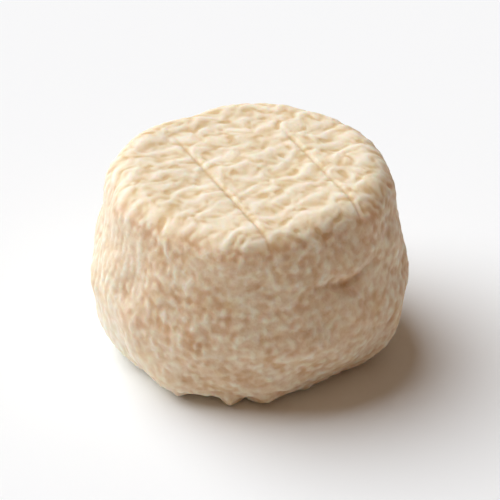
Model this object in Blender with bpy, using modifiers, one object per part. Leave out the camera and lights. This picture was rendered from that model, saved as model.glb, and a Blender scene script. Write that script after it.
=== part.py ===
"""A crottin: a small drum-shaped goat cheese with a wrinkled, bloomy rind.

One solid, in metres, +Z up. It stands on its flat foot, with the origin under its middle. The section is a taut
line round three circles, turned into a drum. Bulges and dents make the drum uneven, wires of the drying rack have
pressed straight marks into the top and the foot, and the rind is wrinkled in waves.
"""

import math

import bmesh
import bpy
import numpy as np

NAME = "crottin"

# Section: each bend is a circle, as distance from the axis, height and radius
HEIGHT = 0.0367
RIM_BEND = (0.0210, HEIGHT - 0.0053, 0.0053)
BELLY_BEND = (0.0173, 0.0155, 0.0120)
FOOT_BEND = (0.0198, 0.0080, 0.0080)
SECTION_STEPS = 48
TURN_STEPS = 96
FACET = 0.0015

# Bulges and dents: azimuth in degrees, height, spread in degrees, spread in height, push outwards
LUMPS = (
    (-92, 0.0350, 22, 0.0070, 0.0020),
    (-48, 0.0340, 20, 0.0080, -0.0006),
    (-135, 0.0340, 22, 0.0080, -0.0006),
    (118, 0.0340, 15, 0.0100, -0.0017),
    (90, 0.0350, 18, 0.0080, 0.0009),
    (52, 0.0330, 26, 0.0100, 0.0007),
    (180, 0.0250, 30, 0.0060, -0.0005),
    (198, 0.0050, 12, 0.0045, 0.0009),
    (217, 0.0030, 12, 0.0060, -0.0011),
    (236, 0.0040, 12, 0.0070, 0.0010),
    (257, 0.0020, 14, 0.0060, -0.0010),
    (305, 0.0020, 19, 0.0070, -0.0026),
    (340, 0.0070, 16, 0.0080, 0.0008),
)
LUMPS_FADE = (0.009, 0.023)

# Drying rack: heading of its wires, and how far each passes from the axis
WIRE_HEADING = math.radians(-64.4)
WIRE_PITCH = 0.0192
TOP_WIRES = (-0.0080, -0.0080 + WIRE_PITCH)
FOOT_WIRES = (-0.0104, -0.0104 + WIRE_PITCH)
MARK_HALF_WIDTH = 0.0006
MARK_DEPTH = 0.0005
MARK_CALM = 0.0018
SNAP = 0.0002

# Rind: wavelengths of the wrinkles, and half their depth
FURROW_LENGTHS = (0.0036, 0.0056)
FURROW_SPREAD = math.radians(22)
FURROW_DEPTH = 0.00042
PUCKER_LENGTHS = (0.0030, 0.0050)
PUCKER_DEPTH = 0.00030
WAVES = 40
SEED = 11

# Where the rind turns from flank to top or foot, by the height of its normal
FACING = (0.55, 0.90)
FLAT = 1e-5

RIND_COLOUR = (0.86, 0.74, 0.55, 1.0)
RIND_ROUGHNESS = 0.75


def clear_scene():
    for thing in list(bpy.data.objects):
        bpy.data.objects.remove(thing)


def rind_material():
    material = bpy.data.materials.new("bloomy_rind")
    material.use_nodes = True
    shader = material.node_tree.nodes["Principled BSDF"]
    shader.inputs["Base Color"].default_value = RIND_COLOUR
    shader.inputs["Roughness"].default_value = RIND_ROUGHNESS
    shader.inputs["Metallic"].default_value = 0.0
    return material


def smooth_step(low, high, value):
    share = np.clip((value - low) / (high - low), 0, 1)
    return share * share * (3 - 2 * share)


def section_points():
    """Half the section, from the middle of the top down the outside to the middle of the foot."""
    points = [(0.0, HEIGHT)]
    for tilt in np.linspace(math.pi / 2, -math.pi / 2, SECTION_STEPS):
        out, up = math.cos(tilt), math.sin(tilt)
        bends = (RIM_BEND, BELLY_BEND, FOOT_BEND)
        across, height, radius = max(bends, key=lambda b: b[0] * out + b[1] * up + b[2])
        points.append((across + radius * out, height + radius * up))
    points.append((0.0, 0.0))
    return points


def turned_drum(collection):
    """The section turned about Z and covered again with even facets."""
    points = section_points()
    mesh = bpy.data.meshes.new(NAME)
    mesh.from_pydata([(x, 0, z) for x, z in points], [(i, i + 1) for i in range(len(points) - 1)], [])
    drum = bpy.data.objects.new(NAME, mesh)
    collection.objects.link(drum)
    turn = drum.modifiers.new("turn", "SCREW")
    turn.steps = turn.render_steps = TURN_STEPS
    turn.use_merge_vertices = True
    turn.merge_threshold = FLAT
    even = drum.modifiers.new("even", "REMESH")
    even.mode = "VOXEL"
    even.voxel_size = FACET
    graph = bpy.context.evaluated_depsgraph_get()
    drum.data = bpy.data.meshes.new_from_object(drum.evaluated_get(graph))
    drum.modifiers.clear()
    return drum


def points_of(form):
    return np.array([v.co for v in form.verts])


def move_points(form, places):
    for vertex, place in zip(form.verts, places):
        vertex.co = place
    form.normal_update()


def push_lumps(form):
    """Pushes the drum out or in at each bulge and dent."""
    points = points_of(form)
    across = np.hypot(points[:, 0], points[:, 1])
    azimuth = np.degrees(np.arctan2(points[:, 1], points[:, 0]))
    push = np.zeros(len(points))
    for where, height, reach, rise, amount in LUMPS:
        turn = (azimuth - where + 180) % 360 - 180
        push += amount * np.exp(-((turn / reach) ** 2) - ((points[:, 2] - height) / rise) ** 2)
    push *= smooth_step(*LUMPS_FADE, across) / np.maximum(across, FLAT)
    points[:, :2] *= 1 + push[:, None]
    move_points(form, points)


def split_along_wires(form, wires, side):
    """Cuts edges along both sides and the middle of each mark, on the top (side 1) or the foot (side -1)."""
    normal = (-math.sin(WIRE_HEADING), math.cos(WIRE_HEADING), 0)
    for wire in wires:
        for offset in (-MARK_HALF_WIDTH, 0, MARK_HALF_WIDTH):
            faces = [f for f in form.faces if f.normal.z * side > FACING[0]]
            parts = {part for f in faces for part in (*f.verts, *f.edges, f)}
            bmesh.ops.bisect_plane(
                form,
                geom=list(parts),
                dist=SNAP,
                use_snap_center=True,
                plane_co=[n * (wire + offset) for n in normal],
                plane_no=normal,
            )
    form.normal_update()


def nearness(points, wires, reach):
    """1 under the middle of a rack wire, falling to 0 at the reach to either side of it."""
    offset = points[:, 1] * math.cos(WIRE_HEADING) - points[:, 0] * math.sin(WIRE_HEADING)
    nearest = np.min([np.abs(offset - wire) for wire in wires], axis=0)
    return np.clip(1 - nearest / reach, 0, 1)


def furrow_waves(random):
    """Waves that run along the rack's wires, so that their crests lie square to the marks."""
    length = random.uniform(*FURROW_LENGTHS, WAVES)
    heading = WIRE_HEADING + random.normal(0, FURROW_SPREAD, WAVES)
    return 2 * math.pi / length * np.array([np.cos(heading), np.sin(heading), np.zeros(WAVES)])


def pucker_waves(random):
    """Waves that run every way."""
    length = random.uniform(*PUCKER_LENGTHS, WAVES)
    heading = random.normal(size=(3, WAVES))
    return 2 * math.pi / length * heading / np.linalg.norm(heading, axis=0)


def wrinkles(points, waves, random):
    """The waves together at each point, from about -1 in a furrow to 1 on a crest."""
    phase = random.uniform(0, 2 * math.pi, WAVES)
    return np.tanh(np.cos(points @ waves + phase).sum(axis=1) * math.sqrt(2 / WAVES))


def wrinkle_rind(form):
    """Raises furrows on the top and puckers on the flank, and presses in the marks of the wires."""
    random = np.random.default_rng(SEED)
    points = points_of(form)
    normals = np.array([v.normal for v in form.verts])
    on_top = smooth_step(*FACING, normals[:, 2])
    on_foot = smooth_step(*FACING, -normals[:, 2])
    lift = on_top * FURROW_DEPTH * wrinkles(points, furrow_waves(random), random)
    lift += (1 - on_top - on_foot) * PUCKER_DEPTH * wrinkles(points, pucker_waves(random), random)
    for side, wires in ((on_top, TOP_WIRES), (on_foot, FOOT_WIRES)):
        lift *= 1 - side * nearness(points, wires, MARK_CALM)
        lift -= side * MARK_DEPTH * nearness(points, wires, MARK_HALF_WIDTH)
    move_points(form, points + normals * lift[:, None])


def settle_foot(form):
    """Flattens the foot on the ground, merges its flat facets, and centres the cheese over the origin."""
    points = points_of(form)
    points[points[:, 2] < FLAT, 2] = 0
    points[:, :2] -= (points[:, :2].min(axis=0) + points[:, :2].max(axis=0)) / 2
    move_points(form, points)
    flat = [v for v in form.verts if v.co.z == 0]
    edges = [e for e in form.edges if all(v.co.z == 0 for v in e.verts)]
    bmesh.ops.dissolve_limit(form, angle_limit=math.radians(0.5), verts=flat, edges=edges)


def make_crottin():
    collection = bpy.data.collections.new("crottin_goat_cheese")
    bpy.context.scene.collection.children.link(collection)
    cheese = turned_drum(collection)
    form = bmesh.new()
    form.from_mesh(cheese.data)
    push_lumps(form)
    split_along_wires(form, TOP_WIRES, 1)
    split_along_wires(form, FOOT_WIRES, -1)
    wrinkle_rind(form)
    settle_foot(form)
    bmesh.ops.triangulate(form, faces=form.faces)
    form.to_mesh(cheese.data)
    form.free()
    cheese.data.shade_smooth()
    cheese.data.materials.clear()
    cheese.data.materials.append(rind_material())


clear_scene()
make_crottin()
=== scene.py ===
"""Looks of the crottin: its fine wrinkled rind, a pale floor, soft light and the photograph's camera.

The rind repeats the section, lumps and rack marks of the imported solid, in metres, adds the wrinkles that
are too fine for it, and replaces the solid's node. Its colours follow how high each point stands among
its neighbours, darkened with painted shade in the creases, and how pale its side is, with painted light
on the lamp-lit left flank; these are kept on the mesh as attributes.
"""

import math

import bmesh
import bpy
import numpy as np
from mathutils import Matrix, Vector


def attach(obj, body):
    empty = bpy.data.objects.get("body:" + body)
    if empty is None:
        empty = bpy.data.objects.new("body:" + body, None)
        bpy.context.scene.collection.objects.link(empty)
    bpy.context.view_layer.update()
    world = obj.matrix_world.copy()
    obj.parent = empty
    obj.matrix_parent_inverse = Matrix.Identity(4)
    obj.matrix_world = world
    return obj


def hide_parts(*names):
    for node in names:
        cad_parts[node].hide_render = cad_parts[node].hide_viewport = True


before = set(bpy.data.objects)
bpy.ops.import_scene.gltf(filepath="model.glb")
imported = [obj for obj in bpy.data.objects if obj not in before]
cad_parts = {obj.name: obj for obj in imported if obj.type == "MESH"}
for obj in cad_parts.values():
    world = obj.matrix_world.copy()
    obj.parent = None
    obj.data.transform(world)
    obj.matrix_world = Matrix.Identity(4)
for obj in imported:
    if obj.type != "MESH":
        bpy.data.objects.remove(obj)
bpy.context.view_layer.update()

# Section: each bend is a circle, as distance from the axis, height and radius
HEIGHT = 0.0367
RIM_BEND = (0.0210, HEIGHT - 0.0053, 0.0053)
BELLY_BEND = (0.0173, 0.0155, 0.0120)
FOOT_BEND = (0.0198, 0.0080, 0.0080)

# Fineness: steps of the section and of its turn, size of the even facets, and gap that is closed
SECTION_STEPS = 64
TURN_STEPS = 160
FACET = 0.000375
MERGE = 1e-5

# Bulges and dents: azimuth in degrees, height, spread in degrees, spread in height, push outwards
LUMPS = (
    (-92, 0.0350, 22, 0.0070, 0.0020),
    (-48, 0.0340, 20, 0.0080, -0.0006),
    (-135, 0.0340, 22, 0.0080, -0.0006),
    (118, 0.0340, 15, 0.0100, -0.0017),
    (90, 0.0350, 18, 0.0080, 0.0009),
    (52, 0.0330, 26, 0.0100, 0.0007),
    (180, 0.0250, 30, 0.0060, -0.0005),
    (198, 0.0050, 12, 0.0045, 0.0009),
    (217, 0.0030, 12, 0.0060, -0.0011),
    (236, 0.0040, 12, 0.0070, 0.0010),
    (257, 0.0020, 14, 0.0060, -0.0010),
    (305, 0.0020, 19, 0.0070, -0.0026),
    (340, 0.0070, 16, 0.0080, 0.0008),
)
LUMPS_FADE = (0.009, 0.023)

# Nibs and notches along the ragged foot, given as the bulges and dents are
NIBS = (
    (-98, 0.0006, 3.0, 0.0018, 0.0023),
    (-91, 0.0008, 2.4, 0.0016, -0.0012),
    (-83, 0.0012, 4.2, 0.0020, 0.0010),
    (-120, 0.0006, 2.6, 0.0015, 0.0013),
    (-115, 0.0008, 2.2, 0.0015, -0.0006),
    (-146, 0.0008, 4.0, 0.0020, 0.0006),
    (-62, 0.0006, 3.0, 0.0016, 0.0006),
)

# Drying rack: its wires' heading and spacing, then each one's distance from the axis, start and firmness
WIRE_HEADING = math.radians(-64.4)
WIRE_PITCH = 0.0192
TOP_WIRES = ((-0.0080, -0.0125, 1.0), (-0.0080 + WIRE_PITCH, -0.0045, 0.9))
FOOT_WIRES = ((-0.0104, -0.0150, 0.9), (-0.0104 + WIRE_PITCH, -0.0150, 0.8))
SNAP = 0.00008

# Marks of the wires: size, darkening, smoothing of the wrinkles, faint end, and lips to either side
MARK_HALF_WIDTH = 0.00065
MARK_DEPTH = 0.00026
MARK_SHADE = 1.4
MARK_CALM = 0.70
MARK_FAINT = 0.25
MARK_FADE = 0.0040
LIP_HEIGHT = 0.00003
LIP_OFFSET = 0.00105

# Creases in the flank: azimuth and height of each end, half width and depth; then their sway, and the
# depth that darkens them by one crest step as painted shade
CREASES = (
    (-68, 0.0250, -32, 0.0258, 0.0009, 0.0006),
    (-92, 0.0220, -64, 0.0248, 0.0007, 0.0002),
    (-50, 0.0146, -16, 0.0100, 0.0009, 0.0003),
    (-84, 0.0040, -62, 0.0036, 0.0008, 0.0005),
    (18, 0.0210, 52, 0.0226, 0.0009, 0.0004),
    (98, 0.0120, 134, 0.0145, 0.0010, 0.0004),
)
CREASE_SWAY = 0.0006
CREASE_WAVES = 9
CREASE_PAINTED_SHADE = 0.0006

# Furrows of the top and the foot: shortest wave, longest wave and share of each size
FURROWS = (
    (0.0032, 0.0051, 0.58),
    (0.0020, 0.0029, 0.28),
)
FURROW_HEADING = math.radians(-50)
FURROW_SPREAD = math.radians(27)
FURROW_SHARPNESS = 1.0
FURROW_EVENNESS = 0.8
FURROW_DEPTH = 0.00006

# Pits along the furrows, and nicks across them: shortest and longest wave, and share
PITS = (0.0034, 0.0056)
PIT_SHARE = 0.7
PIT_SEED = 2
NICKS = (0.0014, 0.0022)
NICK_SHARE = 0.32

# Deep pits and pale crumbs: place, reach, and depth or height in furrow depths
DABS = (
    (-0.0037, 0.0101, 0.0365, 0.0011, -2.2),
    (-0.0080, 0.0156, 0.0368, 0.0011, -1.5),
    (-0.0112, 0.0136, 0.0366, 0.0012, -1.6),
    (-0.0164, 0.0012, 0.0364, 0.0012, -1.8),
    (-0.0144, -0.0122, 0.0363, 0.0012, -1.8),
    (-0.0094, -0.0148, 0.0364, 0.0010, -1.4),
    (0.0018, 0.0083, 0.0364, 0.0014, -1.8),
    (0.0034, 0.0123, 0.0368, 0.0015, -1.3),
    (0.0030, 0.0000, 0.0364, 0.0009, -1.6),
    (0.0008, -0.0193, 0.0366, 0.0010, -1.5),
    (-0.0178, -0.0085, 0.0364, 0.0010, -1.4),
    (-0.0133, -0.0169, 0.0364, 0.0009, -1.3),
    (-0.0175, 0.0070, 0.0364, 0.0010, -1.4),
    (-0.0090, -0.0068, 0.0366, 0.0008, -1.2),
    (-0.0023, 0.0011, 0.0366, 0.0009, -1.1),
    (-0.0034, -0.0060, 0.0366, 0.0009, -1.3),
    (-0.0020, -0.0057, 0.0366, 0.0009, -1.3),
    (0.0028, -0.0107, 0.0366, 0.0008, -1.5),
    (0.0051, -0.0042, 0.0366, 0.0009, -1.3),
    (0.0070, -0.0006, 0.0366, 0.0010, -1.3),
    (0.0073, -0.0073, 0.0366, 0.0009, -1.2),
    (0.0118, -0.0056, 0.0366, 0.0009, -1.5),
    (0.0003, 0.0186, 0.0366, 0.0010, -1.4),
    (0.0070, 0.0189, 0.0366, 0.0012, -1.4),
    (-0.0236, -0.0103, 0.0329, 0.0013, -1.8),
    (-0.0180, -0.0179, 0.0329, 0.0012, -1.8),
    (-0.0117, -0.0223, 0.0345, 0.0010, -1.4),
    (0.0014, -0.0280, 0.0280, 0.0008, -1.6),
    (-0.0050, -0.0274, 0.0244, 0.0008, -1.6),
    (-0.0124, -0.0251, 0.0240, 0.0008, -1.4),
    (0.0100, -0.0271, 0.0183, 0.0009, -1.2),
    (-0.0114, -0.0255, 0.0069, 0.0009, -1.8),
    (-0.0044, -0.0276, 0.0231, 0.0007, 2.2),
    (-0.0014, -0.0279, 0.0255, 0.0008, 1.6),
)
DAB_HOLD = 0.8

# Crumbs of the flank: shortest wave, longest wave and share of each size, those on the left upright
CRUMBS = (
    (0.0014, 0.0023, 0.66),
    (0.0024, 0.0036, 0.45),
    (0.0038, 0.0060, 0.25),
    (0.0060, 0.0095, 0.20),
)
UPRIGHT = (1, 1, 0.42)
CRUMB_SHARPNESS = 0.5
CRUMB_PEAK = 1.5
CRUMB_DEPTH = 0.00008

# How far the wrinkles stray from even waves
STRAY = (0.0042, 0.0080)
STRAY_REACH = 0.0004
CRUMB_STRAY = 0.0001

# Broad swells under the wrinkles, and how much less they are on the top and the foot
SWELLS = (0.0070, 0.0160)
SWELL_DEPTH = 0.00020
SWELL_LOSS = 0.4

# Faint and firm patches of wrinkles: size, range, strength where faint and gain where firm or on the rim
PATCHES = (0.0100, 0.0220)
PATCH_RANGE = (-1.5, 1.0)
FLANK_STRENGTH = (0.75, 0.35)
TOP_STRENGTH = (0.9, 0.15)
RIM_GAIN = 0.3

# Seeded waves: how many are summed, and the least swing that is still made even
WAVES = 64
SEED = 5
CALMEST = 0.15

# Where the rind turns from flank to top, rim or foot, by the height of its normal
FACING = (0.35, 0.80)
FOOT_FACING = (0.85, 0.97)
RIM_FACING = (0.1, 0.5)

# Left flank, where the crumbs stand upright and the lamp's light is painted in paler: azimuth of its
# middle, and degrees from there where it starts and is full
LEFT_AZIMUTH = 180
LEFT_SIDE = (75, 20)

# Colours of the rind, from its pits to its crests, and where those of the top and the left come in; the
# left's are paler with painted light
TOP_COLOURS = ((0.0, (0.67, 0.49, 0.27)), (0.38, (0.805, 0.682, 0.482)), (0.95, (0.88, 0.80, 0.645)))
FLANK_COLOURS = ((0.0, (0.66, 0.415, 0.235)), (0.40, (0.78, 0.60, 0.41)), (1.0, (0.87, 0.785, 0.62)))
LEFT_LIT_COLOURS = ((0.0, (0.76, 0.60, 0.43)), (0.40, (0.86, 0.77, 0.60)), (1.0, (0.92, 0.885, 0.77)))
CREST_RANGE = (-1.8, 1.4)
PALE_FACING = (0.45, 0.92)
PALE_FOOT = 0.7
# Painted light on the left flank: its share up the flank, and the heights between which it grows to full
# near the foot
LEFT_PAINTED_LIGHT = 0.45
LEFT_PAINTED_LIGHT_LOW = (0.018, 0.004)

# Tints of the rind's patches: colour, size, and the noise where each starts and is full
BLUSH = ((0.985, 0.945, 0.91, 1), 0.012, 0.45, 0.75)
STRAW = ((0.98, 0.945, 0.84, 1), 0.0065, 0.58, 0.78)

# Bloom: size of its specks, the tints between and on them, and the noise where each starts and is full
BLOOM_SIZE = 0.0009
SHADED_BLOOM = ((0.95, 0.90, 0.84, 1), 0.55, 0.35)
PALE_BLOOM = ((0.065, 0.065, 0.06, 1), 0.58, 0.72)

# Bumps finer than the mesh: strength and depth of each, and the grain's size, detail and roughness
BLOOM_BUMP = (0.5, 0.00020)
GRAIN_BUMP = (0.35, 0.00010)
GRAIN = (0.0004, 3.0, 0.6)

# Gloss of the rind, and the light that scatters under it
RIND_ROUGHNESS = 0.72
RIND_SHINE = 0.3
RIND_GLOW = 0.8
GLOW_COLOURS = (1.0, 0.6, 0.35)
GLOW_DEPTH = 0.0022

# Light: the lamp's azimuth and height above level, its apparent width, and the room round it
LAMP_AZIMUTH = math.radians(153)
LAMP_RISE = math.radians(49)
LAMP_SPREAD = math.radians(64)
LAMP_STRENGTH = 3.7
LAMP_COLOUR = (0.97, 1, 1.04)
ROOM_COLOUR = (1, 0.665, 0.455, 1)
ROOM_STRENGTH = 0.18
BACKDROP_COLOUR = (0.92, 0.92, 0.92, 1)

# Floor: half its side, colour and gloss
FLOOR_SIZE = 2
FLOOR_COLOUR = (0.90, 0.93, 0.94, 1)
FLOOR_ROUGHNESS = 0.8
FLOOR_SHINE = 0.2

# Photograph's camera: aim, distance, height above level, and lens on a 36 mm sensor
AIM = Vector((0, 0, HEIGHT / 2))
CAMERA_DISTANCE = 0.45
CAMERA_RISE = math.radians(32)
LENS = 175


def smooth_step(low, high, value):
    share = np.clip((value - low) / (high - low), 0, 1)
    return share * share * (3 - 2 * share)


def section_points():
    """Half the section, from the middle of the top down the outside to the middle of the foot."""
    points = [Vector((0, 0, HEIGHT))]
    for tilt in np.linspace(math.pi / 2, -math.pi / 2, SECTION_STEPS):
        out, up = math.cos(tilt), math.sin(tilt)
        bends = (RIM_BEND, BELLY_BEND, FOOT_BEND)
        across, height, radius = max(bends, key=lambda b: b[0] * out + b[1] * up + b[2])
        points.append(Vector((across + radius * out, 0, height + radius * up)))
    points.append(Vector((0, 0, 0)))
    return points


def new_piece(name, form):
    mesh = bpy.data.meshes.new(name)
    form.to_mesh(mesh)
    form.free()
    piece = bpy.data.objects.new(name, mesh)
    bpy.context.scene.collection.objects.link(piece)
    return piece


def turned_drum(name):
    """The section spun about Z and covered again with even facets."""
    form = bmesh.new()
    line = [form.verts.new(point) for point in section_points()]
    edges = [form.edges.new(pair) for pair in zip(line, line[1:])]
    bmesh.ops.spin(
        form,
        geom=line + edges,
        cent=(0, 0, 0),
        axis=(0, 0, 1),
        angle=2 * math.pi,
        steps=TURN_STEPS,
        use_merge=True,
    )
    bmesh.ops.remove_doubles(form, verts=form.verts, dist=MERGE)
    bmesh.ops.recalc_face_normals(form, faces=form.faces)
    drum = new_piece(name, form)
    even = drum.modifiers.new("even", "REMESH")
    even.mode = "VOXEL"
    even.voxel_size = FACET
    graph = bpy.context.evaluated_depsgraph_get()
    drum.data = bpy.data.meshes.new_from_object(drum.evaluated_get(graph))
    drum.modifiers.clear()
    return drum


def points_of(form):
    return np.array([v.co for v in form.verts])


def move_points(form, places):
    for vertex, place in zip(form.verts, places):
        vertex.co = place
    form.normal_update()


def azimuth_of(points):
    return np.degrees(np.arctan2(points[:, 1], points[:, 0]))


def push_lumps(form, lumps):
    """Pushes the drum out or in at each bulge and dent."""
    points = points_of(form)
    across = np.hypot(points[:, 0], points[:, 1])
    push = np.zeros(len(points))
    for where, height, reach, rise, amount in lumps:
        turn = (azimuth_of(points) - where + 180) % 360 - 180
        push += amount * np.exp(-((turn / reach) ** 2) - ((points[:, 2] - height) / rise) ** 2)
    push *= smooth_step(*LUMPS_FADE, across) / np.maximum(across, MERGE)
    points[:, :2] *= 1 + push[:, None]
    move_points(form, points)


def split_along_wires(form, wires, side):
    """Cuts edges along the sides and middle of each mark, on the top, side 1, or the foot, side -1."""
    normal = (-math.sin(WIRE_HEADING), math.cos(WIRE_HEADING), 0)
    for wire, _, _ in wires:
        for offset in (-MARK_HALF_WIDTH, 0, MARK_HALF_WIDTH):
            faces = [f for f in form.faces if f.normal.z * side > FACING[0]]
            parts = {part for f in faces for part in (*f.verts, *f.edges, f)}
            bmesh.ops.bisect_plane(
                form,
                geom=list(parts),
                dist=SNAP,
                use_snap_center=True,
                plane_co=[n * (wire + offset) for n in normal],
                plane_no=normal,
            )
    form.normal_update()


def crease_depth(points):
    """Depth of the flank's creases, each deepest in its middle."""
    depth = np.zeros(len(points))
    for start, low, end, high, half_width, deepest in CREASES:
        share = (azimuth_of(points) - start) / (end - start)
        lengthwise = np.clip(4 * share * (1 - share), 0, 1)
        sway = CREASE_SWAY * np.sin(CREASE_WAVES * share)
        offset = points[:, 2] - (low + share * (high - low) + sway)
        depth += deepest * lengthwise * np.exp(-((offset / half_width) ** 2))
    return depth


def every_way(random, squash=(1, 1, 1)):
    """Headings all round, squashed along X, Y or Z so that crests stretch that way."""
    heading = random.normal(size=(3, WAVES)) * np.array(squash)[:, None]
    return heading / np.linalg.norm(heading, axis=0)


def one_way(random, middle, spread):
    """Level headings about one direction."""
    turn = middle + random.normal(0, spread, WAVES)
    return np.array([np.cos(turn), np.sin(turn), np.zeros(WAVES)])


def ripple(random, points, shortest, longest, headings, evenness=0):
    """Seeded waves summed to a standard deviation of 1, their calm and rough places made more even."""
    waves = 2 * math.pi / random.uniform(shortest, longest, WAVES) * headings
    phase = random.uniform(0, 2 * math.pi, WAVES)
    turning = np.exp(1j * (points @ waves + phase)).sum(axis=1) / math.sqrt(WAVES)
    return math.sqrt(2) * turning.real / np.maximum(np.abs(turning), CALMEST) ** evenness


def peaked(wave, sharpness):
    """Sharpens the heights of a wave and flattens its hollows."""
    return (np.exp(sharpness * wave) - math.exp(sharpness ** 2 / 2)) / sharpness


def furrowed(random, points):
    """Furrows pitted along their length, with nicks every way across them, in furrow depths."""
    pits = np.random.default_rng(PIT_SEED)
    relief = NICK_SHARE * ripple(random, points, *NICKS, every_way(random))
    for shortest, longest, share in FURROWS:
        headings = one_way(random, FURROW_HEADING, FURROW_SPREAD)
        wave = ripple(random, points, shortest, longest, headings, FURROW_EVENNESS)
        pit = ripple(pits, points, *PITS, one_way(pits, FURROW_HEADING + math.pi / 2, FURROW_SPREAD))
        pitted = PIT_SHARE * np.maximum(-wave, 0) * np.maximum(pit, 0)
        relief += share * (peaked(wave, FURROW_SHARPNESS) - pitted)
    return relief


def dabbed(points):
    """The deep pits and pale crumbs, in furrow depths, and how near each point is to one, from 0 to 1."""
    relief = np.zeros(len(points))
    nearest = np.zeros(len(points))
    for x, y, z, reach, amount in DABS:
        away = np.linalg.norm(points - (x, y, z), axis=1)
        near = np.exp(-((away / reach) ** 2))
        relief += amount * near
        nearest = np.maximum(nearest, near)
    return relief, nearest


def crumbly(random, points, squash):
    """Crumbs of every size over each other, in crumb depths."""
    relief = np.zeros(len(points))
    for shortest, longest, share in CRUMBS:
        wave = ripple(random, points, shortest, longest, every_way(random, squash))
        relief += share * CRUMB_PEAK * np.tanh(peaked(wave, CRUMB_SHARPNESS) / CRUMB_PEAK)
    return relief


def rind_relief(points, normals):
    """How far each point is lifted, how high it stands among its neighbours with painted shade in the
    creases, and how pale it is with painted light on the left.
    """
    random = np.random.default_rng(SEED)
    stray = np.stack([ripple(random, points, *STRAY, every_way(random)) for _ in range(3)], axis=1)
    top = furrowed(random, points + STRAY_REACH * stray)
    flank = crumbly(random, points + CRUMB_STRAY * stray, (1, 1, 1))
    upright = crumbly(random, points + CRUMB_STRAY * stray, UPRIGHT)
    swell = ripple(random, points, *SWELLS, every_way(random))
    firm = smooth_step(*PATCH_RANGE, ripple(random, points, *PATCHES, every_way(random)))
    on_foot = smooth_step(*FOOT_FACING, -normals[:, 2])
    on_flat = smooth_step(*FACING, normals[:, 2]) + on_foot
    on_rim = smooth_step(*RIM_FACING, normals[:, 2]) * (1 - on_flat)
    on_left = smooth_step(*LEFT_SIDE, np.abs(azimuth_of(points) % 360 - LEFT_AZIMUTH))
    flank = (flank * (1 - on_left) + upright * on_left) / np.hypot(1 - on_left, on_left)
    flank *= FLANK_STRENGTH[0] + FLANK_STRENGTH[1] * firm + RIM_GAIN * on_rim
    top *= TOP_STRENGTH[0] + TOP_STRENGTH[1] * firm
    crease = crease_depth(points)
    dab, near_dab = dabbed(points)
    level = np.hypot(on_flat, 1 - on_flat) / (1 - DAB_HOLD * near_dab)
    # The creases darken the crest colour: painted shade in their folds
    crest = (on_flat * top + (1 - on_flat) * flank) / level + dab - crease / CREASE_PAINTED_SHADE
    lift = (on_flat * FURROW_DEPTH * top + (1 - on_flat) * CRUMB_DEPTH * flank) / level
    lift += FURROW_DEPTH * dab + (1 - SWELL_LOSS * on_flat) * SWELL_DEPTH * swell - crease
    pale_top = smooth_step(*PALE_FACING, normals[:, 2]) + PALE_FOOT * on_foot
    # Painted light: the left flank, where the lamp falls, is painted paler, fully near the foot
    painted_light_left = on_left * (LEFT_PAINTED_LIGHT + (1 - LEFT_PAINTED_LIGHT) * smooth_step(*LEFT_PAINTED_LIGHT_LOW, points[:, 2]))
    return lift, {"crest": crest, "pale_top": pale_top, "painted_light_left": painted_light_left}


def press_wires(points, lift, crest, side, wires):
    """Presses a groove between two low lips under each wire, faint before its start."""
    along = points[:, 0] * math.cos(WIRE_HEADING) + points[:, 1] * math.sin(WIRE_HEADING)
    across = points[:, 1] * math.cos(WIRE_HEADING) - points[:, 0] * math.sin(WIRE_HEADING)
    for wire, start, firmness in wires:
        offset = np.abs(across - wire)
        begun = smooth_step(start - MARK_FADE, start, along)
        firm = firmness * side * (MARK_FAINT + (1 - MARK_FAINT) * begun)
        mark = firm * smooth_step(MARK_HALF_WIDTH, 0, offset)
        lip = firm * np.exp(-(((offset - LIP_OFFSET) / MARK_HALF_WIDTH) ** 2))
        lift[:] = lift * (1 - MARK_CALM * mark) + LIP_HEIGHT * lip - MARK_DEPTH * mark
        crest[:] = crest * (1 - MARK_CALM * mark) - MARK_SHADE * mark


def wrinkle_rind(form):
    """Moves the rind's points out and in, and returns what its colours need to know of each."""
    points = points_of(form)
    normals = np.array([v.normal for v in form.verts])
    lift, shares = rind_relief(points, normals)
    on_top = smooth_step(*FACING, normals[:, 2])
    on_foot = smooth_step(*FACING, -normals[:, 2])
    press_wires(points, lift, shares["crest"], on_top, TOP_WIRES)
    press_wires(points, lift, shares["crest"], on_foot, FOOT_WIRES)
    places = points + normals * lift[:, None]
    places[:, 2] = np.maximum(places[:, 2], 0)
    places[:, :2] -= (places[:, :2].min(axis=0) + places[:, :2].max(axis=0)) / 2
    move_points(form, places)
    return shares


def make_rind():
    rind = turned_drum("wrinkled_rind")
    form = bmesh.new()
    form.from_mesh(rind.data)
    push_lumps(form, LUMPS + NIBS)
    split_along_wires(form, TOP_WIRES, 1)
    split_along_wires(form, FOOT_WIRES, -1)
    shares = wrinkle_rind(form)
    bmesh.ops.triangulate(form, faces=form.faces)
    form.to_mesh(rind.data)
    form.free()
    for name, values in shares.items():
        rind.data.attributes.new(name, "FLOAT", "POINT").data.foreach_set("value", values)
    rind.data.shade_smooth()
    rind.data.materials.clear()
    rind.data.materials.append(rind_material())
    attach(rind, "root")
    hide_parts("crottin")
    return rind


def add_node(tree, kind, **settings):
    """A node with its properties set by name, and its inputs by place or name."""
    node = tree.nodes.new("ShaderNode" + kind)
    for name, value in settings.items():
        if name == "inputs":
            for place, setting in value.items():
                node.inputs[place].default_value = setting
        else:
            setattr(node, name, value)
    return node


def colour_ramp(tree, value, stops):
    ramp = add_node(tree, "ValToRGB")
    marks = ramp.color_ramp.elements
    for _ in range(len(stops) - 2):
        marks.new(0.5)
    for mark, (place, colour) in zip(marks, stops):
        mark.position = place
        mark.color = (*colour, 1)
    tree.links.new(value, ramp.inputs["Fac"])
    return ramp.outputs["Color"]


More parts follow.
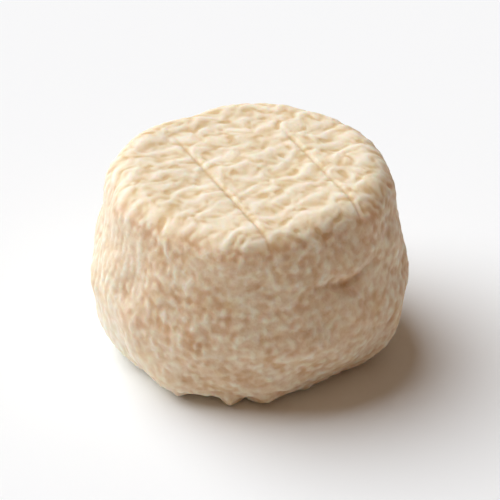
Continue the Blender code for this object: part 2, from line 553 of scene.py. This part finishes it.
def mixed(tree, share, first, second, blend="MIX"):
    """Two colours blended. The node's inputs 0, 6 and 7 are the share and the two colours."""
    mix = add_node(tree, "Mix", data_type="RGBA", blend_type=blend)
    for socket, value in ((mix.inputs[0], share), (mix.inputs[6], first), (mix.inputs[7], second)):
        if isinstance(value, bpy.types.NodeSocket):
            tree.links.new(value, socket)
        else:
            socket.default_value = value
    return mix.outputs[2]


def noise(tree, size, detail=2.0, roughness=0.5):
    """Noise whose features are about this size, in metres."""
    place = add_node(tree, "TexCoord")
    settings = {"Scale": 1 / size, "Detail": detail, "Roughness": roughness}
    texture = add_node(tree, "TexNoise", inputs=settings)
    tree.links.new(place.outputs["Object"], texture.inputs["Vector"])
    return texture.outputs["Fac"]


def share_of(tree, value, low, high):
    """0 at the low value to 1 at the high value."""
    spread = add_node(tree, "MapRange", inputs={"From Min": low, "From Max": high})
    tree.links.new(value, spread.inputs["Value"])
    return spread.outputs["Result"]


def attribute(tree, name):
    return add_node(tree, "Attribute", attribute_name=name).outputs["Fac"]


def patchy(tree, base, tint, size, low, high):
    """The base darkened by the tint in patches."""
    return mixed(tree, share_of(tree, noise(tree, size), low, high), base, tint, "MULTIPLY")


def bloomed(tree, base, bloom):
    """The base with its bloom: tinted between the specks and pale on them."""
    for (tint, low, high), blend in ((SHADED_BLOOM, "MULTIPLY"), (PALE_BLOOM, "SCREEN")):
        base = mixed(tree, share_of(tree, bloom, low, high), base, tint, blend)
    return base


def bumped(tree, height, strength, depth, under=None):
    """The surface raised by the height, over the bumps under it."""
    bump = add_node(tree, "Bump", inputs={"Strength": strength, "Distance": depth})
    tree.links.new(height, bump.inputs["Height"])
    if under is not None:
        tree.links.new(under, bump.inputs["Normal"])
    return bump.outputs["Normal"]


def rind_material():
    """Cream crests and straw to brown pits, paler on the top, with painted light making the left paler,
    and a dull bloom.
    """
    material = bpy.data.materials.new("bloomy_rind")
    material.use_nodes = True
    tree = material.node_tree
    shader = tree.nodes["Principled BSDF"]
    crest = share_of(tree, attribute(tree, "crest"), *CREST_RANGE)
    bloom = noise(tree, BLOOM_SIZE)
    flank = patchy(tree, colour_ramp(tree, crest, FLANK_COLOURS), *BLUSH)
    flank = bloomed(tree, flank, bloom)
    left = colour_ramp(tree, crest, LEFT_LIT_COLOURS)
    top = colour_ramp(tree, crest, TOP_COLOURS)
    # Painted light: the lamp-lit left flank takes the paler left colours
    rind = mixed(tree, attribute(tree, "painted_light_left"), flank, left)
    rind = mixed(tree, attribute(tree, "pale_top"), rind, top)
    rind = patchy(tree, rind, *STRAW)
    normal = bumped(tree, bloom, *BLOOM_BUMP)
    normal = bumped(tree, noise(tree, *GRAIN), *GRAIN_BUMP, normal)
    tree.links.new(rind, shader.inputs["Base Color"])
    tree.links.new(normal, shader.inputs["Normal"])
    shader.inputs["Roughness"].default_value = RIND_ROUGHNESS
    shader.inputs["Specular IOR Level"].default_value = RIND_SHINE
    shader.inputs["Subsurface Weight"].default_value = RIND_GLOW
    shader.inputs["Subsurface Radius"].default_value = GLOW_COLOURS
    shader.inputs["Subsurface Scale"].default_value = GLOW_DEPTH
    return material


def make_floor():
    form = bmesh.new()
    bmesh.ops.create_grid(form, x_segments=1, y_segments=1, size=FLOOR_SIZE)
    floor = new_piece("floor", form)
    material = bpy.data.materials.new("pale_floor")
    material.use_nodes = True
    shader = material.node_tree.nodes["Principled BSDF"]
    shader.inputs["Base Color"].default_value = FLOOR_COLOUR
    shader.inputs["Roughness"].default_value = FLOOR_ROUGHNESS
    shader.inputs["Specular IOR Level"].default_value = FLOOR_SHINE
    floor.data.materials.append(material)


def make_light():
    """A broad soft lamp from the left, a little behind, in a dim warm room with a white backdrop."""
    lamp = bpy.data.lights.new("soft_lamp", "SUN")
    lamp.angle = LAMP_SPREAD
    lamp.energy = LAMP_STRENGTH
    lamp.color = LAMP_COLOUR
    key = bpy.data.objects.new("soft_lamp", lamp)
    key.rotation_euler = (0, math.pi / 2 - LAMP_RISE, LAMP_AZIMUTH)
    bpy.context.scene.collection.objects.link(key)
    world = bpy.data.worlds.new("soft_room")
    world.use_nodes = True
    tree = world.node_tree
    room = tree.nodes["Background"]
    room.inputs["Color"].default_value = ROOM_COLOUR
    room.inputs["Strength"].default_value = ROOM_STRENGTH
    backdrop = add_node(tree, "Background", inputs={"Color": BACKDROP_COLOUR})
    seen = add_node(tree, "LightPath")
    both = add_node(tree, "MixShader")
    tree.links.new(seen.outputs["Is Camera Ray"], both.inputs[0])
    tree.links.new(room.outputs[0], both.inputs[1])
    tree.links.new(backdrop.outputs[0], both.inputs[2])
    tree.links.new(both.outputs[0], tree.nodes["World Output"].inputs["Surface"])
    bpy.context.scene.world = world
    bpy.context.scene.view_settings.view_transform = "Standard"


def make_camera():
    data = bpy.data.cameras.new("camera")
    data.lens = LENS
    camera = bpy.data.objects.new("camera", data)
    back = Vector((0, -math.cos(CAMERA_RISE), math.sin(CAMERA_RISE)))
    camera.location = AIM + CAMERA_DISTANCE * back
    camera.rotation_euler = (-back).to_track_quat("-Z", "Y").to_euler()
    bpy.context.scene.collection.objects.link(camera)
    bpy.context.scene.camera = camera


make_rind()
make_floor()
make_light()
make_camera()
